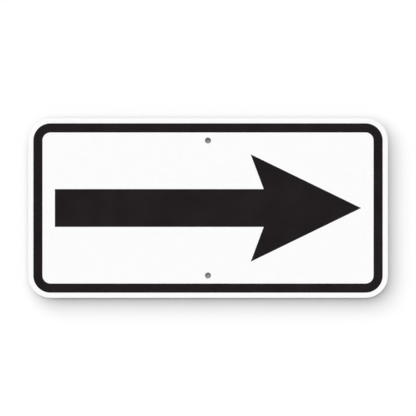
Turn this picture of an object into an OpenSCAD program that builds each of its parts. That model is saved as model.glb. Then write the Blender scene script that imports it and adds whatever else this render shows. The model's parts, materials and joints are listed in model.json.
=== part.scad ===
// Route marker plaque: a flat aluminium sign blank with rounded corners, white reflective
// sheeting on its face, and a border and an arrow of black film on the sheeting.
// The back of the blank lies in the plane y = 0 and the face looks towards -Y.

/* [Blank] */
// Width of the aluminium blank
blank_w = 609.6; // [450:0.1:920]
// Height of the blank
blank_h = 304.8; // [250:0.1:460]
// Thickness of the aluminium sheet
blank_t = 2; // [1.2:0.1:4]
// Radius of the blank's four corners
corner_r = 38.1; // [32:0.1:60]
// Width of the bevel that deburring leaves on every sheared edge
edge_break = 0.25; // [0.1:0.05:0.4]

/* [Bolt holes] */
// Diameter of each bolt hole
hole_d = 9.525; // [6.5:0.005:14.5]
// Distance from the blank's top or bottom edge to the centre of the hole near it
hole_edge = 38.1; // [35:0.1:60]

/* [Sheeting] */
// Thickness of the white reflective sheeting
sheeting_t = 0.35; // [0.2:0.05:0.6]
// Bare metal that is left between the sheeting's cut edge and the bevel
sheeting_trim = 0.1; // [0.05:0.05:0.8]

/* [Border] */
// White margin between the blank's edge and the black border
border_margin = 9; // [5:0.1:13]
// Width of the black border
border_w = 15.5; // [8:0.1:20]

/* [Arrow] */
// White space between the border and each end of the arrow
arrow_end_space = 21; // [10:0.5:60]
// White space between the border and the barbs, above and below
arrow_barb_space = 37; // [20:0.5:60]
// Thickness of the arrow's shaft
shaft_w = 64; // [30:0.5:78]
// Length of the head from its tip to the shaft
head_l = 165; // [90:0.5:200]
// How far the barbs sweep back along the shaft
barb_sweep = 22; // [0:0.5:45]

/* [Film] */
// Thickness of the black film
film_t = 0.1; // [0.05:0.01:0.25]

/* [Hidden] */
$fn = 96;

// Where each layer starts, counted from the back of the blank
sheeting_z = blank_t;
film_z = sheeting_z + sheeting_t;

// How far the sheeting stays inside the edges of the blank
sheeting_inset = edge_break + sheeting_trim;

// The border's two outlines share the corner centres of the blank
border_inner = border_margin + border_w;

// The clear white field inside the border
field_w = blank_w - 2 * border_inner;
field_h = blank_h - 2 * border_inner;

// The arrow fills the field up to its white spaces
arrow_l = field_w - 2 * arrow_end_space;
arrow_h = field_h - 2 * arrow_barb_space;

// How far the centre of each hole lies above or below the middle
hole_z = blank_h / 2 - hole_edge;

// How far a punch reaches past the faces that it cuts
cut_extra = 1;

// Turns a drawing of the face, as a reader sees it, into a layer that stands upright
module upright(z = 0) {
    rotate([90, 0, 0]) translate([0, 0, z]) children();
}

// Outline of the blank, moved inwards by inset all round
module outline(inset = 0) {
    w = blank_w - 2 * inset;
    h = blank_h - 2 * inset;
    r = corner_r - inset;
    square([w - 2 * r, h], center = true);
    square([w, h - 2 * r], center = true);
    for (x = [-1, 1], y = [-1, 1]) {
        translate([x * (w / 2 - r), y * (h / 2 - r)]) circle(r);
    }
}

// The places of the two bolt holes on the face
module at_holes() {
    for (y = [-1, 1]) translate([0, y * hole_z]) children();
}

// Section through the blank's rim, from a corner's centre out to the edge
module rim_section() {
    polygon([
        [0, 0],
        [corner_r - edge_break, 0],
        [corner_r, edge_break],
        [corner_r, blank_t - edge_break],
        [corner_r - edge_break, blank_t],
        [0, blank_t]
    ]);
}

// A straight stretch of the rim, its outer edge towards +X
module rim_bar(length) {
    rotate([90, 0, 0]) translate([0, 0, -length / 2]) linear_extrude(length) rim_section();
}

// The solid sheet, before it is punched
module sheet() {
    side_w = blank_w - 2 * corner_r;
    side_h = blank_h - 2 * corner_r;
    translate([-side_w / 2, -side_h / 2, 0]) cube([side_w, side_h, blank_t]);
    for (turn = [0, 180]) {
        rotate(turn) translate([side_w / 2, 0, 0]) rim_bar(side_h);
        rotate(turn + 90) translate([side_h / 2, 0, 0]) rim_bar(side_w);
        rotate(turn) translate([side_w / 2, side_h / 2, 0]) rotate_extrude(angle = 90) rim_section();
        rotate(turn) translate([-side_w / 2, side_h / 2, 0]) rotate(90) rotate_extrude(angle = 90) rim_section();
    }
}

// The punch of one bolt hole, with the bevel that deburring leaves at both ends
module hole_cut() {
    hole_r = hole_d / 2;
    translate([0, 0, -cut_extra]) cylinder(r = hole_r, h = blank_t + 2 * cut_extra);
    translate([0, 0, -cut_extra])
        cylinder(r1 = hole_r + edge_break + cut_extra, r2 = hole_r, h = edge_break + cut_extra);
    translate([0, 0, blank_t - edge_break])
        cylinder(r1 = hole_r, r2 = hole_r + edge_break + cut_extra, h = edge_break + cut_extra);
}

module sign_blank() {
    color("silver") upright() difference() {
        sheet();
        at_holes() hole_cut();
    }
}

module white_sheeting() {
    color("white") upright(sheeting_z) linear_extrude(sheeting_t) difference() {
        outline(sheeting_inset);
        at_holes() circle(d = hole_d + 2 * sheeting_inset);
    }
}

module black_border() {
    color("black") upright(film_z) linear_extrude(film_t) difference() {
        outline(border_margin);
        outline(border_inner);
    }
}

// The arrow points to the reader's right
module direction_arrow() {
    tip = arrow_l / 2;
    root = tip - head_l;
    shaft = shaft_w / 2;
    barb = arrow_h / 2;
    color("black") upright(film_z) linear_extrude(film_t) polygon([
        [-tip, -shaft],
        [root, -shaft],
        [root - barb_sweep, -barb],
        [tip, 0],
        [root - barb_sweep, barb],
        [root, shaft],
        [-tip, shaft]
    ]);
}

sign_blank();
white_sheeting();
black_border();
direction_arrow();
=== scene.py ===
# %% [markdown]
# # A route marker plaque
# The object is a flat road sign panel: a punched aluminium blank, white reflective sheeting on its
# face, and a border and an arrow cut from black film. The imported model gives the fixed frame, in
# metres: +Z goes up the sign, +X to the reader's right, and the face looks along -Y.

# %% Load the frame
import json
import math

import bmesh
import bpy
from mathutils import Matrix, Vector
from mathutils.bvhtree import BVHTree


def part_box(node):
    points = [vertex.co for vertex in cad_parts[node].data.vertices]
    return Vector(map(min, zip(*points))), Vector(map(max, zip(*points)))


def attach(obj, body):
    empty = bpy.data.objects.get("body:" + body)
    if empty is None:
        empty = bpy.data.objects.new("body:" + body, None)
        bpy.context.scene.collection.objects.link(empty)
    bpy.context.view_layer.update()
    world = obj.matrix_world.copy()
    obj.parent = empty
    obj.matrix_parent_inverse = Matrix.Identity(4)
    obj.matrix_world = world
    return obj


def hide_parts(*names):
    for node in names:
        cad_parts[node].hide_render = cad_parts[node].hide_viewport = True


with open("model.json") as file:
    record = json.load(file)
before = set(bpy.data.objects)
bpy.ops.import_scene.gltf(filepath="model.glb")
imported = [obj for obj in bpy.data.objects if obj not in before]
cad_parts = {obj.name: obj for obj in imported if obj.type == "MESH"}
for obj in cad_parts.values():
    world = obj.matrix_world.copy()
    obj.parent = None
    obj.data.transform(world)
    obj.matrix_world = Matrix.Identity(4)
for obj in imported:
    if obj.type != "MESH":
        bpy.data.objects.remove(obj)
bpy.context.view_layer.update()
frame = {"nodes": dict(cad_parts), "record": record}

scene = bpy.context.scene
print("nodes in the frame:", sorted(frame["nodes"]))

# %% [markdown]
# ## Sizes
# The width, height and thickness of each layer come from the box of its node, and the bolt holes
# from the record's mounts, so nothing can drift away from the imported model. Five sizes can't be
# read from a box, and stand here in metres: the corner radius, the width of the border's band, and
# the three that shape the arrow. When the pieces are made, their distance from the model is printed.

# %% Read the sizes
MM = 0.001
CORNER_RADIUS = 38.1 * MM
BORDER_BAND = 15.5 * MM
ARROW_HEAD = 165 * MM
ARROW_SWEEP = 22 * MM
ARROW_SHAFT = 64 * MM


def layer(node):
    """Width, height, thickness and distance in front of the blank's back, for one flat layer."""
    low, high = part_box(node)
    size = high - low
    return {"width": size.x, "height": size.z, "thickness": size.y, "start": -high.y}


blank = layer("sign_blank")
sheeting = layer("white_sheeting")
border = layer("black_border")
arrow = layer("direction_arrow")
bolts = next(mount for mount in frame["record"]["mounts"] if mount["kind"] == "bolt_pattern")["dims"]
hole_radius = bolts["hole_r_mm"] * MM
hole_spacing = bolts["spacing_y_mm"] * MM
print(f"blank {blank['width'] / MM:.1f} x {blank['height'] / MM:.1f} x {blank['thickness'] / MM:.2f} mm")
print(f"{bolts['count']} holes of {2 * hole_radius / MM:.3f} mm, {hole_spacing / MM:.1f} mm apart")

# %% [markdown]
# ## The camera
# The picture is taken square on, from far enough away that the sign shows no perspective. The sign
# is 360 of the picture's 416 pixels wide, so the picture spans a known width at the sign's face, and
# the distance follows from the lens. A very long lens looks straight through both bolt holes, though
# they lie above and below its axis, so the metal inside them stays out of sight.

# %% Place the camera
PICTURE_PIXELS = 416
SIGN_PIXELS = 360
LENS_MM = 300
SENSOR_MM = 36

picture_width = blank["width"] * PICTURE_PIXELS / SIGN_PIXELS
face_y = -(border["start"] + border["thickness"])
camera_distance = picture_width * LENS_MM / SENSOR_MM
camera_data = bpy.data.cameras.new("camera")
camera_data.lens = LENS_MM
camera_data.sensor_width = SENSOR_MM
camera = bpy.data.objects.new("camera", camera_data)
camera.location = (0, face_y - camera_distance, 0)
camera.rotation_euler = (math.radians(90), 0, 0)
scene.collection.objects.link(camera)
scene.camera = camera
print(f"the camera stands {camera_distance:.3f} m in front of the face")

# %% [markdown]
# ## Helpers for node trees
# Every shape and finish below is a tree of nodes. A tree could be clicked together by hand, but
# written out it can be read, changed and run again. One helper adds a node, sets its options and
# fills its inputs. Another opens a group with named sockets, because a named input is what makes a
# tree useful to the next person, and a third places such a group in another tree.

# %% Helpers: add a node, open a group, use a group
FLOAT = "NodeSocketFloat"
WHOLE = "NodeSocketInt"
VECTOR = "NodeSocketVector"
GEOMETRY = "NodeSocketGeometry"
MATERIAL = "NodeSocketMaterial"


def socket_of(sockets, key=None):
    """The socket of this number or name, or the first one that the node's options leave switched on."""
    if isinstance(key, int):
        return sockets[key]
    return next(socket for socket in sockets if socket.enabled and key in (None, socket.name))


def plug(tree, value, socket):
    """Fills a socket with a plain value, with another socket's, or with what another node gives out."""
    if isinstance(value, bpy.types.Node):
        value = socket_of(value.outputs)
    if isinstance(value, bpy.types.NodeSocket):
        tree.links.new(value, socket)
    else:
        socket.default_value = value


def add(tree, kind, inputs=None, **options):
    """Adds a node with these options, and fills the inputs that are given by name or number."""
    node = tree.nodes.new(kind)
    for option, value in options.items():
        setattr(node, option, value)
    for key, value in (inputs or {}).items():
        plug(tree, value, socket_of(node.inputs, key))
    return node


def group(name, kind, takes, gives):
    """A new node group, with the sockets at its two ends: those it takes and those it gives."""
    tree = bpy.data.node_groups.new(name, kind)
    for direction, sockets in (("INPUT", takes), ("OUTPUT", gives)):
        for label, socket_type in sockets:
            tree.interface.new_socket(label, in_out=direction, socket_type=socket_type)
    return tree, tree.nodes.new("NodeGroupInput").outputs, tree.nodes.new("NodeGroupOutput").inputs


def use(tree, node_group, inputs):
    """Places a group in a tree, fills its inputs, and returns its outputs."""
    node = tree.nodes.new(tree.bl_idname.replace("NodeTree", "NodeGroup"))
    node.node_tree = node_group
    for label, value in inputs.items():
        plug(tree, value, node.inputs[label])
    return node.outputs


# %% [markdown]
# A few more helpers name the small steps that every tree repeats: a sum, a blend, and a soft ramp
# from one value to another. They work in trees for shapes and in trees for finishes alike. A ramp
# may run from a larger number down to a smaller one, and beyond its two ends it stays level.

# %% Helpers: sums, blends and ramps


def calc(tree, operation, a, b=0.0):
    """One sum on numbers, named by its operation."""
    return add(tree, "ShaderNodeMath", {0: a, 1: b}, operation=operation)


def vector(tree, operation, *vectors, **inputs):
    """One sum on vectors, which may take a number such as Scale by its name."""
    return add(tree, "ShaderNodeVectorMath", {**dict(enumerate(vectors)), **inputs}, operation=operation)


def parts_of(tree, value):
    """The X, Y and Z of a vector."""
    return add(tree, "ShaderNodeSeparateXYZ", {"Vector": value}).outputs


def blend(tree, factor, a, b, kind="FLOAT"):
    """The value a where the factor is 0, b where it is 1, and a mix in between."""
    return add(tree, "ShaderNodeMix", {"Factor": factor, "A": a, "B": b}, data_type=kind)


def ramp(tree, value, low, high, at_low=0.0, at_high=1.0):
    """Goes smoothly from at_low to at_high while the value goes from low to high, and stays there."""
    limits = {"Value": value, "From Min": low, "From Max": high, "To Min": at_low, "To Max": at_high}
    return add(tree, "ShaderNodeMapRange", limits, interpolation_type="SMOOTHSTEP")


# %% [markdown]
# ## The stage
# The sign hangs a little in front of a white wall, which catches the soft shadow that falls to the
# lower right, and a white floor lies below the picture. The shadow could be painted, but a wall at
# the right distance gets it right on every side and inside the bolt holes. The wall shows only to
# the camera and only from its front, so a camera behind the sign looks through it at the bare back.
#
# In a real studio some light also creeps in behind the sign, back and forth between the wall and
# the metal. Here the wall is hidden from every ray but the camera's, so a faint glow stands in for
# that light. It grows from nothing at the sign's outline, and stays clear of the bolt holes.

# %% Helper: the light that creeps in behind the sign
CREEPING_LIGHT = 0.17
CREEP_START = 4 * MM
CREEP_REACH = 30 * MM
CLEAR_OF_HOLE = 1.3 * hole_radius
FULL_FROM_HOLE = 3 * hole_radius


def creeping_light(tree):
    """The glow of the wall: full behind the middle of the sign, and none outside it or at its holes."""
    place = parts_of(tree, socket_of(add(tree, "ShaderNodeTexCoord").outputs, "Object"))
    across = calc(tree, "ABSOLUTE", place["X"])
    upwards = calc(tree, "ABSOLUTE", place["Y"])
    glow = CREEPING_LIGHT
    for distance, side in ((across, blank["width"]), (upwards, blank["height"])):
        inside = ramp(tree, distance, side / 2 - CREEP_START, side / 2 - CREEP_REACH)
        glow = calc(tree, "MULTIPLY", inside, glow)
    above_hole = calc(tree, "SUBTRACT", upwards, hole_spacing / 2)
    from_hole = vector(tree, "LENGTH", add(tree, "ShaderNodeCombineXYZ", {"X": across, "Y": above_hole}))
    return calc(tree, "MULTIPLY", ramp(tree, from_hole, CLEAR_OF_HOLE, FULL_FROM_HOLE), glow)


# %% [markdown]
# Both sheets are paper that scatters light evenly, and are clear when seen from behind. The wall's
# paper is white and faces the lamps. The floor lies almost along their light and gets little of it,
# so its paper is grey with a glow of its own, which together look white and still keep a shadow.

# %% Build the wall and the floor
WALL_GAP = 34 * MM
FLOOR_DROP = 0.75
STAGE_SIDE = 30.0
WALL_PAPER = 0.98
FLOOR_PAPER = 0.5
FLOOR_GLOW = 0.82


def stage_sheet(name, place, turn, finish):
    """A large square of the stage, which only the camera sees."""
    half = STAGE_SIDE / 2
    corners = [(-half, -half, 0), (half, -half, 0), (half, half, 0), (-half, half, 0)]
    mesh = bpy.data.meshes.new(name)
    mesh.from_pydata(corners, [], [(0, 1, 2, 3)])
    mesh.materials.append(finish)
    square = bpy.data.objects.new(name, mesh)
    square.location = place
    square.rotation_euler = turn
    scene.collection.objects.link(square)
    for ray in ("diffuse", "glossy", "transmission", "volume_scatter", "shadow"):
        setattr(square, f"visible_{ray}", False)


def paper(name, colour, glow):
    """Paper that keeps a shadow, with a glow worked out by a function, and clear from behind."""
    material = bpy.data.materials.new(name)
    material.use_nodes = True
    tree = material.node_tree
    tree.nodes.clear()
    matt = add(tree, "ShaderNodeBsdfDiffuse", {"Color": (colour, colour, colour, 1)})
    light = add(tree, "ShaderNodeEmission", {"Strength": glow(tree)})
    front = add(tree, "ShaderNodeAddShader", {0: matt, 1: light})
    behind = socket_of(add(tree, "ShaderNodeNewGeometry").outputs, "Backfacing")
    clear = add(tree, "ShaderNodeBsdfTransparent")
    both = add(tree, "ShaderNodeMixShader", {0: behind, 1: front, 2: clear})
    add(tree, "ShaderNodeOutputMaterial", {"Surface": both})
    return material


wall_paper = paper("wall_paper", WALL_PAPER, creeping_light)
floor_paper = paper("floor_paper", FLOOR_PAPER, lambda tree: FLOOR_GLOW)
stage_sheet("stage_wall", (0, WALL_GAP, 0), (math.radians(90), 0, 0), wall_paper)
stage_sheet("stage_floor", (0, 0, -FLOOR_DROP), (0, 0, 0), floor_paper)
print(f"the wall hangs {WALL_GAP / MM:.0f} mm behind the sign, the floor lies {FLOOR_DROP} m below it")

# %% [markdown]
# ## The lamps
# A sun lamp with a wide angle acts as a huge softbox: it gives parallel, even light and a soft edge
# to the shadow. The key comes from the upper left and gives nearly two thirds of the light on the
# face. A fill lamp round the camera gives a seventh, and lets the shadow fade on every side. A
# tighter lamp just above the camera gives nearly a fifth, and draws the thin dark line close under
# the sign and the crescent at the top of each bolt hole. None of them makes a highlight, as a
# photographer's lamps are turned away from glossy film.

# %% Hang the lamps
PLAIN = math.pi      # the light at which a white surface just looks white


def soft_sun(name, share, from_right, from_above, spread):
    """A sun that gives its share of plain light, from so many degrees off the sign's axis."""
    right, above = math.radians(from_right), math.radians(from_above)
    lamp = bpy.data.lights.new(name, "SUN")
    lamp.angle = math.radians(spread)
    lamp.energy = share * PLAIN / (math.cos(right) * math.cos(above))
    sideways, forwards = math.sin(right) * math.cos(above), math.cos(right) * math.cos(above)
    sun = bpy.data.objects.new(name, lamp)
    sun.rotation_mode = "QUATERNION"
    sun.rotation_quaternion = Vector((sideways, -forwards, math.sin(above))).to_track_quat("Z", "Y")
    sun.visible_glossy = False
    scene.collection.objects.link(sun)
    print(f"{name}: {lamp.energy:.2f} W/m2")


soft_sun("key_lamp", share=0.645, from_right=-16.5, from_above=17.5, spread=65.0)
soft_sun("fill_lamp", share=0.14, from_right=-0.5, from_above=3.5, spread=34.0)
soft_sun("front_lamp", share=0.19, from_right=-0.7, from_above=4.3, spread=8.0)

# %% [markdown]
# ## The room
# The camera sees a plain white room. The soft light that reaches the sign from all round is dim, as
# the lamps do most of the work. A glossy surface mirrors more than that: dark where the camera
# stands, so that black film stays black, and white at the sides, over the floor and overhead, so
# that bare metal has something to shine with. What the bare back mirrors grows brighter from the
# floor upwards, as in a room that is lit from its ceiling.
#
# The pairs of numbers are parts of a direction: Y is -1 towards the camera and 1 away from it, and
# Z is 1 straight up. Light that the wall has already scattered finds nothing to mirror in the bare
# back, because what that back faces there is the dark gap itself.

# %% Light the room
ROOM_LIGHT = 0.05
CAMERA_CORNER = 0.22
SIDE_WALLS = 0.95
CAMERA_TO_SIDE_Y = (-0.95, -0.3)
REAR_FLOOR = 0.55
REAR_CEILING = 1.1
FLOOR_TO_CEILING_Z = (-0.6, 0.7)
FRONT_TO_REAR_Y = (-0.1, 0.3)


def studio_room():
    """The world: white to the camera, dim for soft light, and a picture of a studio in reflections."""
    world = bpy.data.worlds.new("studio")
    world.use_nodes = True
    tree = world.node_tree
    tree.nodes.clear()
    rays = add(tree, "ShaderNodeLightPath").outputs
    direction = parts_of(tree, socket_of(add(tree, "ShaderNodeTexCoord").outputs, "Generated"))
    front = ramp(tree, direction["Y"], *CAMERA_TO_SIDE_Y, CAMERA_CORNER, SIDE_WALLS)
    rear = ramp(tree, direction["Z"], *FLOOR_TO_CEILING_Z, REAR_FLOOR, REAR_CEILING)
    mirror_image = blend(tree, ramp(tree, direction["Y"], *FRONT_TO_REAR_Y), front, rear)
    scattered = calc(tree, "GREATER_THAN", rays["Diffuse Depth"], 0.5)
    mirrored = blend(tree, scattered, mirror_image, 0.0)
    light = blend(tree, rays["Is Glossy Ray"], ROOM_LIGHT, mirrored)
    strength = blend(tree, rays["Is Camera Ray"], light, 1.0)
    sky = add(tree, "ShaderNodeBackground", {"Color": (1, 1, 1, 1), "Strength": strength})
    add(tree, "ShaderNodeOutputWorld", {"Surface": sky})
    return world


scene.world = studio_room()
scene.view_settings.view_transform = "Standard"
print(f"the room's soft light is {ROOM_LIGHT:.0%} of plain light")

# %% [markdown]
# ## Finishes shared by more than one material
# The three layers are stuck on each other, so they share some marks. Reflective sheeting is built
# of small cells under a clear film, and the black film on top still shows them faintly. A grid of
# hexagons could be modelled, but it would take more than ten thousand cells that nobody sees from
# more than an arm's length, so a shader group works it out. It lays two grids of rectangles half a
# step apart, takes the nearer centre, and measures how far each point is from its cell's wall.
# Counted in cell widths, that wall is 0.5 from the centre, and the dome over the cell, which rises
# from the wall, is level within 0.15 of the centre.

# %% Group: honeycomb cells
HALF_STEP = (0.5, math.sqrt(3) / 2, 0.5)
WALL_FROM_CENTRE = 0.5
TOP_FROM_CENTRE = 0.15


def honeycomb_group():
    """The wall round each cell, the dome over it and a tone of its own, on a drawing of the face."""
    takes = [("Position", VECTOR), ("Cell width", FLOAT), ("Wall width", FLOAT)]
    gives = [("Wall", FLOAT), ("Dome", FLOAT), ("Cell tone", FLOAT)]
    tree, given, result = group("Honeycomb cells", "ShaderNodeTree", takes, gives)
    place = parts_of(tree, given["Position"])
    drawing = add(tree, "ShaderNodeCombineXYZ", {"X": place["X"], "Y": place["Z"]})
    steps = vector(tree, "SCALE", drawing, Scale=calc(tree, "DIVIDE", 1.0, given["Cell width"]))
    backwards = tuple(-half for half in HALF_STEP)
    offsets = [
        vector(tree, "WRAP", steps, HALF_STEP, backwards),
        vector(tree, "WRAP", vector(tree, "SUBTRACT", steps, HALF_STEP), HALF_STEP, backwards),
    ]
    lengths = [vector(tree, "LENGTH", offset) for offset in offsets]
    offset = blend(tree, calc(tree, "LESS_THAN", lengths[1], lengths[0]), *offsets, kind="VECTOR")
    folded = vector(tree, "ABSOLUTE", offset)
    slanted = vector(tree, "DOT_PRODUCT", folded, (HALF_STEP[0], HALF_STEP[1], 0.0))
    reach = calc(tree, "MAXIMUM", slanted, parts_of(tree, folded)["X"])
    share_left = calc(tree, "SUBTRACT", WALL_FROM_CENTRE, reach)
    from_wall = calc(tree, "MULTIPLY", share_left, given["Cell width"])
    half_wall = calc(tree, "MULTIPLY", given["Wall width"], 0.5)
    plug(tree, ramp(tree, from_wall, 0.0, half_wall, 1.0, 0.0), result["Wall"])
    plug(tree, ramp(tree, reach, WALL_FROM_CENTRE, TOP_FROM_CENTRE), result["Dome"])
    centre = vector(tree, "DIVIDE", vector(tree, "SUBTRACT", steps, offset), HALF_STEP)
    number = vector(tree, "FLOOR", vector(tree, "ADD", centre, (0.5, 0.5, 0.5)))      # rounded
    chance = add(tree, "ShaderNodeTexWhiteNoise", {"Vector": number}, noise_dimensions="3D")
    plug(tree, chance, result["Cell tone"])
    return tree


HONEYCOMB = honeycomb_group()
print("made the group", HONEYCOMB.name)

# %% [markdown]
# Film and clear top sheets are never as flat as glass: they dry or stretch with a slight orange
# peel, which breaks up the edge of every reflection. Soft noise at the size of the dimples is
# enough for that, and a slower noise gives the broad patches where the gloss changes a little.

# %% Group: the surface of a film


def film_surface_group():
    """Small dimples and broad patches, each at its own size."""
    takes = [("Position", VECTOR), ("Dimple size", FLOAT), ("Patch size", FLOAT)]
    gives = [("Dimples", FLOAT), ("Patches", FLOAT)]
    tree, given, result = group("Film surface", "ShaderNodeTree", takes, gives)
    for size, detail, output in (("Dimple size", 1.0, "Dimples"), ("Patch size", 2.0, "Patches")):
        scale = calc(tree, "DIVIDE", 1.0, given[size])
        settings = {"Vector": given["Position"], "Scale": scale, "Detail": detail}
        plug(tree, add(tree, "ShaderNodeTexNoise", settings), result[output])
    return tree


FILM_SURFACE = film_surface_group()
print("made the group", FILM_SURFACE.name)

# %% [markdown]
# Every cut edge carries marks that run straight through the thickness: from the shear and the punch
# in the metal, from the knife in the film. The pieces are made with an attribute that is 1 on their
# cut walls, 0 on their flats and in between on the rounding that joins them, and with another that
# is 1 around punched holes. So one group can find the walls and the roundings and scratch them,
# whatever the outline is. A rounding is all that lies between a flat, at exactly 0, and a wall, near
# 1. Each pair of numbers says where an effect of a mark starts, and where it is full. The scratches
# are noise squeezed hard across the wall and left long through it.

# %% Group: cut edges
CUT_MARK = "cut_edge"
PUNCH_MARK = "punched"
MARKED = (0.1, 0.5)
OFF_THE_FLAT = (0.0, 0.003)
OFF_THE_WALL = (0.95, 0.6)


def cut_edge_group():
    """Finds the cut walls, their rounding and the punched holes by their marks, and scratches them."""
    takes = [("Position", VECTOR), ("Scratch width", FLOAT), ("Scratch length", FLOAT)]
    gives = [("Edge", FLOAT), ("Rounding", FLOAT), ("Punched", FLOAT), ("Scratches", FLOAT)]
    tree, given, result = group("Cut edge", "ShaderNodeTree", takes, gives)
    upright, punched = (
        socket_of(add(tree, "ShaderNodeAttribute", attribute_name=mark).outputs, "Fac")
        for mark in (CUT_MARK, PUNCH_MARK)
    )
    plug(tree, ramp(tree, upright, *MARKED), result["Edge"])
    plug(tree, ramp(tree, punched, *MARKED), result["Punched"])
    off_the_flat = ramp(tree, upright, *OFF_THE_FLAT)
    off_the_wall = ramp(tree, upright, *OFF_THE_WALL)
    plug(tree, calc(tree, "MULTIPLY", off_the_flat, off_the_wall), result["Rounding"])
    across = calc(tree, "DIVIDE", 1.0, given["Scratch width"])
    through = calc(tree, "DIVIDE", 1.0, given["Scratch length"])
    squeeze = add(tree, "ShaderNodeCombineXYZ", {"X": across, "Y": through, "Z": across})
    place = vector(tree, "MULTIPLY", given["Position"], squeeze)
    settings = {"Vector": place, "Scale": 1.0, "Detail": 3.0, "Roughness": 0.6}
    plug(tree, add(tree, "ShaderNodeTexNoise", settings), result["Scratches"])
    return tree


CUT_EDGE = cut_edge_group()
print("made the group", CUT_EDGE.name)

# %% [markdown]
# ## Helpers for finishes
# Every finish reads its place on the object in metres, so a pattern has its real size and sits on
# the piece as if it were part of the stock. The first helper opens a material that knows that place.
# The second lays noise with grains of a known size, and the third turns heights into fine bumps.

# %% Helpers for finishes


def start_finish(name, plain):
    """A material, its tree, its shader's inputs with the plain ones set, and the place on the object."""
    material = bpy.data.materials.new(name)
    material.use_nodes = True
    tree = material.node_tree
    inputs = tree.nodes["Principled BSDF"].inputs
    for label, value in plain.items():
        inputs[label].default_value = value
    return material, tree, inputs, socket_of(add(tree, "ShaderNodeTexCoord").outputs, "Object")


def noise(tree, place, size, detail):
    """Noise whose grains have this size along X, Y and Z."""
    squeezed = vector(tree, "DIVIDE", place, size)
    return add(tree, "ShaderNodeTexNoise", {"Vector": squeezed, "Scale": 1.0, "Detail": detail})


def relief(tree, inputs, layers):
    """Chains bumps of (height, depth in metres), the broad ones first, into the shader's normal."""
    below = None
    for height, depth in layers:
        settings = {"Height": height, "Distance": depth}
        if below:
            settings["Normal"] = below
        below = add(tree, "ShaderNodeBump", settings)
    plug(tree, below, inputs["Normal"])


# %% [markdown]
# ## Rolled aluminium
# The blank is mill-finish sheet: bright but not polished, with a fine grain that runs the way the
# sheet was rolled, along the sign. Two noises stretched along X give that grain, a fine one and a
# broad one. The sheared rim is a little duller, with a smooth band near the face and a torn, matt
# one behind it. The punched holes show the same two bands, painted almost black there: painted
# shade, which draws a dark ring around each hole.
#
# The rounding at the front of the rim is satin from the deburring wheel: its fine scratches scatter
# the lamps' light as paper does, so the metal is mixed there with a plain light grey. That keeps the
# bare line around the white sheeting nearly as light as the sheeting itself.
#
# Each pair of numbers below gives the two ends of a ramp or a blend. Depths count from 0 at the back
# of the blank to 1 at its face.

# %% Finish: aluminium
FINE_GRAIN = (60 * MM, 1.0, 0.35 * MM)
BROAD_GRAIN = (400 * MM, 1.0, 9 * MM)
BROAD_SHARE = 0.3
SHEET_WAVES = (0.2, 0.2, 0.2)
WAVE_DEPTH = 1.2 * MM
GRAIN_DEPTH = 0.012 * MM
GRAIN_ROUGHNESS = (0.42, 0.3)
SHEARED_TO_TORN_ROUGHNESS = (0.38, 0.62)
SHEARED_TO_TORN_DEPTH = (0.55, 0.45)
RAGGED = 0.5
BACK_TO_FRONT_DEPTH = (0.3, 0.7)
SATIN_METALLIC = 0.25
SHEAR_MARKS = {"Scratch width": 0.12 * MM, "Scratch length": 2.5 * MM}
BARE_METAL = (0.80, 0.81, 0.82, 1)
GRAIN_METAL = (0.71, 0.72, 0.735, 1)
SHEARED_METAL = (0.78, 0.78, 0.79, 1)
TORN_METAL = (0.42, 0.42, 0.43, 1)
SATIN_METAL = (0.92, 0.92, 0.92, 1)
# Painted shade: the two near-black colours below darken the walls inside the punched holes.
HOLE_SHADE_PAINT = (0.05, 0.05, 0.053, 1)
HOLE_SHADE_PAINT_TORN = (0.035, 0.035, 0.037, 1)


def aluminium_finish():
    """Grained flats, sheared and torn walls, painted shade on the walls in the holes, and a satin front
    rounding.
    """
    material, tree, inputs, place = start_finish("rolled_aluminium", {})
    fine = noise(tree, place, FINE_GRAIN, detail=4.0)
    broad = noise(tree, place, BROAD_GRAIN, detail=2.0)
    waves = noise(tree, place, SHEET_WAVES, detail=1.0)
    grain = blend(tree, BROAD_SHARE, fine, broad)
    edge = use(tree, CUT_EDGE, {"Position": place, **SHEAR_MARKS})

    depth = calc(tree, "MULTIPLY", parts_of(tree, place)["Y"], -1.0 / blank["thickness"])
    ragged = calc(tree, "MULTIPLY", calc(tree, "SUBTRACT", edge["Scratches"], 0.5), RAGGED)
    torn = ramp(tree, calc(tree, "ADD", depth, ragged), *SHEARED_TO_TORN_DEPTH)
    flat = blend(tree, ramp(tree, grain, 0.35, 0.65), GRAIN_METAL, BARE_METAL, kind="RGBA")
    sheared = blend(tree, torn, SHEARED_METAL, TORN_METAL, kind="RGBA")
    # Painted shade: the walls inside the holes take a near-black colour.
    painted_hole_shade = blend(tree, torn, HOLE_SHADE_PAINT, HOLE_SHADE_PAINT_TORN, kind="RGBA")
    wall = blend(tree, edge["Punched"], sheared, painted_hole_shade, kind="RGBA")
    bare = blend(tree, edge["Edge"], flat, wall, kind="RGBA")

    front_half = ramp(tree, depth, *BACK_TO_FRONT_DEPTH)
    satin = calc(tree, "MULTIPLY", edge["Rounding"], front_half)
    satin = calc(tree, "MULTIPLY", satin, calc(tree, "SUBTRACT", 1.0, edge["Punched"]))
    plug(tree, blend(tree, satin, bare, SATIN_METAL, kind="RGBA"), inputs["Base Color"])
    plug(tree, blend(tree, satin, 1.0, SATIN_METALLIC), inputs["Metallic"])

    flat_roughness = ramp(tree, grain, 0.3, 0.7, *GRAIN_ROUGHNESS)
    wall_roughness = blend(tree, torn, *SHEARED_TO_TORN_ROUGHNESS)
    plug(tree, blend(tree, edge["Edge"], flat_roughness, wall_roughness), inputs["Roughness"])
    marks = blend(tree, edge["Edge"], fine, edge["Scratches"])
    relief(tree, inputs, [(waves, WAVE_DEPTH), (marks, GRAIN_DEPTH)])
    return material


aluminium = aluminium_finish()
print(f"{aluminium.name}: a finish of {len(aluminium.node_tree.nodes)} nodes")

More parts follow.
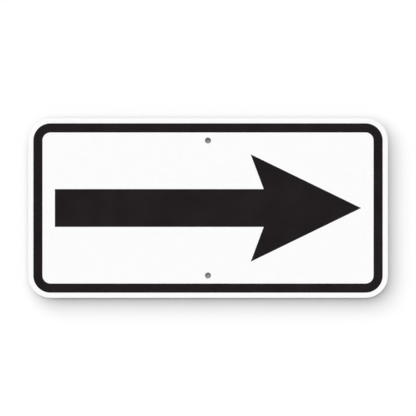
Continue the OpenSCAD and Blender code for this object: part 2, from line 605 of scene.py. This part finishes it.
# %% [markdown]
# ## White reflective sheeting
# The face is a clear glossy film over cells of tiny prisms. Head-on and in soft light it looks
# plain white, and only close up do the cells appear: their sealed walls are a little whiter, each
# cell's floor has its own faint tone, and the film domes slightly over each one. All of that stays
# within about three parts in a hundred, so the sign stays white from where the camera stands.

# %% Finish: white sheeting
CELLS = {"Cell width": 4.0 * MM, "Wall width": 0.55 * MM}
CELL_DOME = 0.03 * MM
PRISM_SIZE = 0.3 * MM
PRISM_SHARE = 0.35
TOP_SHEET = {"Dimple size": 1.4 * MM, "Patch size": 60 * MM}
TOP_SHEET_DEPTH = 0.008 * MM
TOP_SHEET_COAT = 0.6
TRIM_MARKS = {"Scratch width": 0.08 * MM, "Scratch length": 1.5 * MM}
CELL_ROUGHNESS = (0.38, 0.5)
CELL_FLOOR_DARK = (0.943, 0.944, 0.945, 1)
CELL_FLOOR_LIGHT = (0.965, 0.965, 0.965, 1)
CELL_WALL_WHITE = (0.975, 0.975, 0.973, 1)
SHEETING_EDGE = (0.85, 0.85, 0.83, 1)
# Painted shade: the near-black colour of the sheeting's cut edge around each hole.
HOLE_SHADE_PAINT_SHEETING = (0.12, 0.12, 0.115, 1)


def sheeting_finish():
    """White cells under a clear coat, which ends at the trimmed edge."""
    material, tree, inputs, place = start_finish("reflective_sheeting", {"Coat Roughness": 0.06})
    cells = use(tree, HONEYCOMB, {"Position": place, **CELLS})
    film = use(tree, FILM_SURFACE, {"Position": place, **TOP_SHEET})
    edge = use(tree, CUT_EDGE, {"Position": place, **TRIM_MARKS})
    prisms = add(tree, "ShaderNodeTexVoronoi", {"Vector": place, "Scale": 1 / PRISM_SIZE})

    tone = blend(tree, PRISM_SHARE, cells["Cell tone"], prisms)
    floor = blend(tree, tone, CELL_FLOOR_DARK, CELL_FLOOR_LIGHT, kind="RGBA")
    face = blend(tree, cells["Wall"], floor, CELL_WALL_WHITE, kind="RGBA")
    # Painted shade: around each hole the sheeting's cut edge is painted nearly black.
    trimmed = blend(tree, edge["Punched"], SHEETING_EDGE, HOLE_SHADE_PAINT_SHEETING, kind="RGBA")
    plug(tree, blend(tree, edge["Edge"], face, trimmed, kind="RGBA"), inputs["Base Color"])
    plug(tree, ramp(tree, cells["Wall"], 0.0, 1.0, *CELL_ROUGHNESS), inputs["Roughness"])
    plug(tree, ramp(tree, edge["Edge"], 0.0, 1.0, TOP_SHEET_COAT, 0.0), inputs["Coat Weight"])
    marks = blend(tree, edge["Edge"], film["Dimples"], edge["Scratches"])
    relief(tree, inputs, [(cells["Dome"], CELL_DOME), (marks, TOP_SHEET_DEPTH)])
    return material


white = sheeting_finish()
print(f"{white.name}: a finish of {len(white.node_tree.nodes)} nodes")

# %% [markdown]
# ## Black film
# The border and the arrow are cut from opaque black film, semi-gloss and very slightly warm. The
# cells below show through it as the faintest relief, and its own orange peel lies on top. Black
# only looks black while little light glances off it, so its specular level is under the usual half.

# %% Finish: black film
FILM_PEEL = {"Dimple size": 1.1 * MM, "Patch size": 45 * MM}
KNIFE_MARKS = {"Scratch width": 0.06 * MM, "Scratch length": 1.0 * MM}
FILM_PEEL_DEPTH = 0.014 * MM
FILM_ROUGHNESS = (0.33, 0.40)
FILM_BLACK = (0.0087, 0.0060, 0.0068, 1)
FILM_DEEP_BLACK = (0.0067, 0.0042, 0.0050, 1)
FILM_EDGE = (0.03, 0.028, 0.028, 1)


def film_finish():
    """Black film in two close tones and two glosses, a little lighter where a knife has cut it."""
    material, tree, inputs, place = start_finish("semi_gloss_film", {"Specular IOR Level": 0.35})
    cells = use(tree, HONEYCOMB, {"Position": place, **CELLS})
    film = use(tree, FILM_SURFACE, {"Position": place, **FILM_PEEL})
    edge = use(tree, CUT_EDGE, {"Position": place, **KNIFE_MARKS})

    patches = ramp(tree, film["Patches"], 0.3, 0.7)
    face = blend(tree, patches, FILM_DEEP_BLACK, FILM_BLACK, kind="RGBA")
    plug(tree, blend(tree, edge["Edge"], face, FILM_EDGE, kind="RGBA"), inputs["Base Color"])
    plug(tree, blend(tree, patches, *FILM_ROUGHNESS), inputs["Roughness"])
    marks = blend(tree, edge["Edge"], film["Dimples"], edge["Scratches"])
    relief(tree, inputs, [(cells["Dome"], CELL_DOME), (marks, FILM_PEEL_DEPTH)])
    return material


black = film_finish()
print(f"{black.name}: a finish of {len(black.node_tree.nodes)} nodes")

# %% [markdown]
# ## Cutting sheet goods with Geometry Nodes
# All four pieces are flat stock cut to an outline: thick metal, thin sheeting, thinner film. A box
# with holes cut out of it would have razor edges, and no sheared or knife-cut edge is that sharp.
# So one group does what the workshop does: it takes the outlines, sweeps the section of a rounded
# edge along them, and fills the two flat sides. Seen from the front, the outside runs
# counter-clockwise and each hole clockwise, which keeps the sweep on the waste side of the line.
# The section comes first, as a bent line of four points whose two corners are then rounded. The
# flats at its ends are two radii long, which leaves room for the rounding.

# %% Part of the group: the section of an edge


def edge_section(tree, given):
    """A flat, the front corner, the wall, the back corner and a flat, from the face to the back."""
    front_radius, back_radius = given["Front edge radius"], given["Back edge radius"]
    front = calc(tree, "MULTIPLY", given["Thickness"], -1.0)
    front_flat = calc(tree, "MULTIPLY", front_radius, -2.0)
    back_flat = calc(tree, "MULTIPLY", back_radius, -2.0)
    corners = [
        add(tree, "ShaderNodeCombineXYZ", {"X": front_flat, "Y": front}),
        add(tree, "ShaderNodeCombineXYZ", {"Y": front}),
        add(tree, "ShaderNodeCombineXYZ"),
        add(tree, "ShaderNodeCombineXYZ", {"X": back_flat}),
    ]
    number = add(tree, "GeometryNodeInputIndex")
    corner = add(tree, "GeometryNodeIndexSwitch", {"Index": number}, data_type="VECTOR")
    while len(corner.index_switch_items) < len(corners):
        corner.index_switch_items.new()
    for index, place in enumerate(corners):
        plug(tree, place, corner.inputs[str(index)])
    line = add(tree, "GeometryNodeMeshLine", {"Count": len(corners)})
    bent = add(tree, "GeometryNodeSetPosition", {"Geometry": line, "Position": corner})
    sharp = add(tree, "GeometryNodeMeshToCurve", {"Mesh": bent})
    at_front = calc(tree, "LESS_THAN", number, 1.5)      # the first two corners, 0 and 1
    radius = blend(tree, at_front, back_radius, front_radius)
    rounding = {"Curve": sharp, "Count": given["Edge steps"], "Radius": radius, "Limit Radius": True}
    return add(tree, "GeometryNodeFilletCurve", rounding, mode="POLY")


# %% [markdown]
# The swept wall is smooth, and the two sides are flat. Each side is filled from the swept wall's own
# open rim, so the two share every point and the piece closes without a seam. Before the sides are
# added, the wall's upright parts are marked as cut edges, for the finishes to find.

# %% Parts of the group: the wall and the two sides


def swept_wall(tree, outlines, section):
    """Sweeps the section along the outlines, shades it smooth and marks what stands upright."""
    level = add(tree, "GeometryNodeSetCurveNormal", {"Curve": outlines}, mode="Z_UP")
    swept = add(tree, "GeometryNodeCurveToMesh", {"Curve": level, "Profile Curve": section})
    smooth = add(tree, "GeometryNodeSetShadeSmooth", {"Geometry": swept, "Shade Smooth": True})
    facing = calc(tree, "ABSOLUTE", parts_of(tree, add(tree, "GeometryNodeInputNormal"))["Z"])
    upright = {"Geometry": smooth, "Name": CUT_MARK, "Value": calc(tree, "SUBTRACT", 1.0, facing)}
    return add(tree, "GeometryNodeStoreNamedAttribute", upright)


def flat_side(tree, wall, thickness, is_front):
    """Fills the wall's rim at the front or at the back, at that side's height, facing outwards."""
    faces_beside = add(tree, "GeometryNodeInputMeshEdgeNeighbors")
    open_rim = calc(tree, "LESS_THAN", faces_beside, 1.5)      # one face, where other edges have two
    height = parts_of(tree, add(tree, "GeometryNodeInputPosition"))["Z"]
    middle = calc(tree, "MULTIPLY", thickness, 0.5)
    here = calc(tree, "GREATER_THAN" if is_front else "LESS_THAN", height, middle)
    chosen = calc(tree, "MULTIPLY", open_rim, here)
    rim = add(tree, "GeometryNodeMeshToCurve", {"Mesh": wall, "Selection": chosen})
    side = add(tree, "GeometryNodeFillCurve", {"Curve": rim}, mode="TRIANGLES")
    if not is_front:
        side = add(tree, "GeometryNodeFlipFaces", {"Mesh": side})
    lift = add(tree, "ShaderNodeCombineXYZ", {"Z": calc(tree, "MULTIPLY", thickness, float(is_front))})
    placed = add(tree, "GeometryNodeTransform", {"Geometry": side, "Translation": lift})
    return add(tree, "GeometryNodeSetShadeSmooth", {"Geometry": placed, "Shade Smooth": False})


# %% [markdown]
# Everything so far is drawn lying down, as on a workbench. The group's last steps join the parts,
# stand the piece up with a quarter turn, so that its front looks along -Y, and give it its finish.
# Points within two thousandths of a millimetre of each other are welded, which closes the piece.

# %% Group: cut a sheet along its outlines
WELD = 0.002 * MM
SHEET_INPUTS = [
    ("Thickness", FLOAT), ("Front edge radius", FLOAT), ("Back edge radius", FLOAT),
    ("Edge steps", WHOLE), ("Start", FLOAT), ("Material", MATERIAL),
]


def join(tree, *parts):
    """One geometry from several."""
    together = add(tree, "GeometryNodeJoinGeometry")
    for part in parts:
        plug(tree, part, together.inputs[0])
    return together


def cut_sheet_group():
    """Any flat stock: closed outlines go in, and a closed, upright sheet with its finish comes out."""
    takes = [("Outlines", GEOMETRY), *SHEET_INPUTS]
    tree, given, result = group("Cut sheet", "GeometryNodeTree", takes, [("Sheet", GEOMETRY)])
    thickness = given["Thickness"]
    wall = swept_wall(tree, given["Outlines"], edge_section(tree, given))
    sides = [flat_side(tree, wall, thickness, is_front) for is_front in (True, False)]
    whole = join(tree, wall, *sides)
    closed = add(tree, "GeometryNodeMergeByDistance", {"Geometry": whole, "Distance": WELD})
    forward = add(tree, "ShaderNodeCombineXYZ", {"Y": calc(tree, "MULTIPLY", given["Start"], -1.0)})
    stand = {"Geometry": closed, "Translation": forward, "Rotation": (math.radians(90), 0, 0)}
    stood = add(tree, "GeometryNodeTransform", stand)
    real = add(tree, "GeometryNodeRealizeInstances", {"Geometry": stood})
    finished = add(tree, "GeometryNodeSetMaterial", {"Geometry": real, "Material": given["Material"]})
    plug(tree, finished, result["Sheet"])
    return tree


CUT_SHEET = cut_sheet_group()
print("made the group", CUT_SHEET.name)

# %% [markdown]
# ## The rounded outline
# The blank, the sheeting and both edges of the border are the same rounded rectangle, each moved
# inwards by its own inset. Their corners share one centre, so the radius shrinks by the inset too,
# as it does when a band is marked out with a gauge that runs along the edge. One group draws that
# outline, and the pieces differ only in the numbers they give it.

# %% Group: a rounded rectangle, moved inwards
CORNER_STEPS = 48
OUTLINE_INPUTS = [("Width", FLOAT), ("Height", FLOAT), ("Corner radius", FLOAT)]


def rounded_rectangle_group():
    """A closed outline, counter-clockwise, whose corners keep their centres at any inset."""
    takes = [*OUTLINE_INPUTS, ("Inset", FLOAT)]
    tree, given, result = group("Rounded rectangle", "GeometryNodeTree", takes, [("Outline", GEOMETRY)])
    both_sides = calc(tree, "MULTIPLY", given["Inset"], 2.0)
    size = {label: calc(tree, "SUBTRACT", given[label], both_sides) for label in ("Width", "Height")}
    sharp = add(tree, "GeometryNodeCurvePrimitiveQuadrilateral", size)
    radius = calc(tree, "SUBTRACT", given["Corner radius"], given["Inset"])
    rounding = {"Curve": sharp, "Count": CORNER_STEPS, "Radius": radius}
    plug(tree, add(tree, "GeometryNodeFilletCurve", rounding, mode="POLY"), result["Outline"])
    return tree


ROUNDED_RECTANGLE = rounded_rectangle_group()
print("made the group", ROUNDED_RECTANGLE.name)

# %% [markdown]
# The trees below use both groups in the same way: they hand on the sizes that they were given
# themselves. So each use has a helper, one to draw the outline and one to cut the sheet.

# %% Helpers: draw the outline, cut the sheet


def rounded_outline(tree, given, inset):
    """The rounded rectangle of a tree's own width, height and corner radius, at this inset."""
    sizes = {label: given[label] for label, _ in OUTLINE_INPUTS}
    return use(tree, ROUNDED_RECTANGLE, {**sizes, "Inset": inset})["Outline"]


def cut_out(tree, given, result, outlines):
    """Ends a tree: hands its outlines and its own sheet inputs to the group that cuts the sheet."""
    sizes = {label: given[label] for label, _ in SHEET_INPUTS}
    plug(tree, use(tree, CUT_SHEET, {**sizes, "Outlines": outlines})["Sheet"], result["Geometry"])


# %% [markdown]
# ## Three kinds of piece
# A punched sheet has a rounded outside and a row of round holes. The holes are one circle, marked
# as punched for the finishes and placed on each point of a short line, so a sign with more bolts
# only needs another number.

# %% Tree: a punched sheet
HOLE_STEPS = 72


def punched_sheet_tree():
    """A rounded sheet with a row of holes up its middle."""
    holes = [("Hole radius", FLOAT), ("Hole spacing", FLOAT), ("Hole count", WHOLE)]
    takes = [("Geometry", GEOMETRY), *OUTLINE_INPUTS, ("Inset", FLOAT), *holes, *SHEET_INPUTS]
    tree, given, result = group("Punched sheet", "GeometryNodeTree", takes, [("Geometry", GEOMETRY)])
    outside = rounded_outline(tree, given, given["Inset"])
    spaces = calc(tree, "SUBTRACT", given["Hole count"], 1.0)
    length = calc(tree, "MULTIPLY", spaces, given["Hole spacing"])
    lowest = add(tree, "ShaderNodeCombineXYZ", {"Y": calc(tree, "MULTIPLY", length, -0.5)})
    step = add(tree, "ShaderNodeCombineXYZ", {"Y": given["Hole spacing"]})
    row = {"Count": given["Hole count"], "Start Location": lowest, "Offset": step}
    places = add(tree, "GeometryNodeMeshLine", row)
    size = {"Resolution": HOLE_STEPS, "Radius": given["Hole radius"]}
    circle = add(tree, "GeometryNodeCurvePrimitiveCircle", size, mode="RADIUS")
    clockwise = add(tree, "GeometryNodeReverseCurve", {"Curve": circle})
    mark = {"Geometry": clockwise, "Name": PUNCH_MARK, "Value": 1.0}
    marked = add(tree, "GeometryNodeStoreNamedAttribute", mark)
    copies = add(tree, "GeometryNodeInstanceOnPoints", {"Points": places, "Instance": marked})
    punched = add(tree, "GeometryNodeRealizeInstances", {"Geometry": copies})
    cut_out(tree, given, result, join(tree, outside, punched))
    return tree


PUNCHED_SHEET = punched_sheet_tree()
print("made the tree", PUNCHED_SHEET.name)

# %% [markdown]
# A band has a rounded outside and a rounded window. The same group draws both outlines, the window's
# with a larger inset, and the window then runs the other way round, as a hole does.

# %% Tree: a band with a window


def band_tree():
    """A closed band of even width that keeps its margin from the outline it is given."""
    band = [("Margin", FLOAT), ("Band width", FLOAT)]
    takes = [("Geometry", GEOMETRY), *OUTLINE_INPUTS, *band, *SHEET_INPUTS]
    tree, given, result = group("Band", "GeometryNodeTree", takes, [("Geometry", GEOMETRY)])
    outside = rounded_outline(tree, given, given["Margin"])
    window = rounded_outline(tree, given, calc(tree, "ADD", given["Margin"], given["Band width"]))
    clockwise = add(tree, "GeometryNodeReverseCurve", {"Curve": window})
    cut_out(tree, given, result, join(tree, outside, clockwise))
    return tree


BAND = band_tree()
print("made the tree", BAND.name)

# %% [markdown]
# A cut shape takes its outline from the wire that the modifier's own object holds. So any plain
# shape can be cut, and the tree needs no sizes but those of the sheet.

# %% Tree: a shape cut along a wire


def cut_shape_tree():
    """A sheet cut along a closed wire that is drawn flat, counter-clockwise."""
    takes = [("Geometry", GEOMETRY), *SHEET_INPUTS]
    tree, given, result = group("Cut shape", "GeometryNodeTree", takes, [("Geometry", GEOMETRY)])
    cut_out(tree, given, result, add(tree, "GeometryNodeMeshToCurve", {"Mesh": given["Geometry"]}))
    return tree


CUT_SHAPE = cut_shape_tree()
print("made the tree", CUT_SHAPE.name)

# %% [markdown]
# ## From tree to plain mesh
# A tree is only the recipe. The finished piece is a plain mesh, because an exporter drops whatever
# a modifier would still have to make. The helper gives a tree its numbers, by each socket's own
# identifier, takes the result as a mesh, and prints whether it is closed and how far it lies from
# the solid that it stands for. A short one after it gathers the numbers that every sheet has.

# %% Helper: make a piece and measure it


def farthest_from(node, mesh):
    """The largest distance, in millimetres, from the mesh's points to the surface of a CAD node."""
    solid = frame["nodes"][node].data
    points = [vertex.co for vertex in solid.vertices]
    faces = [tuple(face.vertices) for face in solid.polygons]
    surface = BVHTree.FromPolygons(points, faces)
    return max(surface.find_nearest(vertex.co)[3] for vertex in mesh.vertices) / MM


def make_piece(name, node, tree, sizes, wire=None):
    """Runs a tree with these sizes, and puts the plain mesh on the frame in place of its node."""
    piece = bpy.data.objects.new(name, wire or bpy.data.meshes.new(name))
    scene.collection.objects.link(piece)
    maker = piece.modifiers.new("maker", "NODES")
    maker.node_group = tree
    for socket in tree.interface.items_tree:
        if socket.name in sizes:
            maker[socket.identifier] = sizes[socket.name]
    depsgraph = bpy.context.evaluated_depsgraph_get()
    mesh = bpy.data.meshes.new_from_object(piece.evaluated_get(depsgraph))
    piece.modifiers.remove(maker)
    piece.data = mesh
    mesh.name = name

    shape = bmesh.new()
    shape.from_mesh(mesh)
    open_edges = sum(not edge.is_contiguous for edge in shape.edges)
    volume = shape.calc_volume(signed=True) / MM ** 3
    shape.free()
    print(f"{name}: {len(mesh.polygons)} faces, {open_edges} open edges, {volume:.0f} mm3")
    print(f"  at most {farthest_from(node, mesh):.3f} mm from {node}")
    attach(piece, "root")
    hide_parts(node)


def stock(source, edge, material):
    """The inputs that every cut sheet has: what its layer of the frame says, its edge, its finish."""
    return {"Thickness": source["thickness"], "Start": source["start"], **edge, "Material": material}


# %% [markdown]
# ## The blank and its sheeting
# The same tree makes both. The blank is sheared and deburred, so its edges are rounded by a quarter
# of a millimetre. The sheeting is trimmed to stop just inside that rounding, and around each hole
# as well, so a thin line of bare metal frames the white. A knife leaves a much smaller rounding than
# a deburring wheel, and less of it on the glued side than on the face.

# %% Make the blank and the sheeting
DEBURRED = {"Front edge radius": 0.25 * MM, "Back edge radius": 0.25 * MM, "Edge steps": 4}
TRIMMED = {"Front edge radius": 0.06 * MM, "Back edge radius": 0.02 * MM, "Edge steps": 3}

sheeting_inset = (blank["width"] - sheeting["width"]) / 2
outline = {"Width": blank["width"], "Height": blank["height"], "Corner radius": CORNER_RADIUS}
holes = {"Hole spacing": hole_spacing, "Hole count": bolts["count"]}

make_piece("punched_blank", "sign_blank", PUNCHED_SHEET, {
    **outline, **holes, "Inset": 0.0, "Hole radius": hole_radius,
    **stock(blank, DEBURRED, aluminium),
})
make_piece("sheeting_face", "white_sheeting", PUNCHED_SHEET, {
    **outline, **holes, "Inset": sheeting_inset, "Hole radius": hole_radius + sheeting_inset,
    **stock(sheeting, TRIMMED, white),
})

# %% [markdown]
# ## The black border
# The border is one closed band of film. Its margin is read from the frame, and its two outlines keep
# the blank's corner centres, so the white margin has the same width all the way round.

# %% Make the border
KNIFE_CUT = {"Front edge radius": 0.03 * MM, "Back edge radius": 0.01 * MM, "Edge steps": 2}

border_margin = (blank["width"] - border["width"]) / 2
make_piece("border_film", "black_border", BAND, {
    **outline, "Margin": border_margin, "Band width": BORDER_BAND,
    **stock(border, KNIFE_CUT, black),
})

# %% [markdown]
# ## The arrow
# The plaque's field carries a plain traffic arrow that points to the reader's right. A plotter cuts
# such a shape from its corner points, so seven corners on a wire are all that it needs. Its length
# and the spread of its barbs come from the frame.

# %% Make the arrow


def arrow_wire():
    """The arrow's outline as a closed wire, counter-clockwise as seen from the front."""
    tip, barb, shaft = arrow["width"] / 2, arrow["height"] / 2, ARROW_SHAFT / 2
    root = tip - ARROW_HEAD
    upper = [(tip, 0), (root - ARROW_SWEEP, barb), (root, shaft), (-tip, shaft)]
    lower = [(-tip, -shaft), (root, -shaft), (root - ARROW_SWEEP, -barb)]
    corners = [(x, y, 0) for x, y in upper + lower]
    edges = [(number, (number + 1) % len(corners)) for number in range(len(corners))]
    mesh = bpy.data.meshes.new("arrow_wire")
    mesh.from_pydata(corners, edges, [])
    return mesh


arrow_stock = stock(arrow, KNIFE_CUT, black)
make_piece("arrow_film", "direction_arrow", CUT_SHAPE, arrow_stock, wire=arrow_wire())
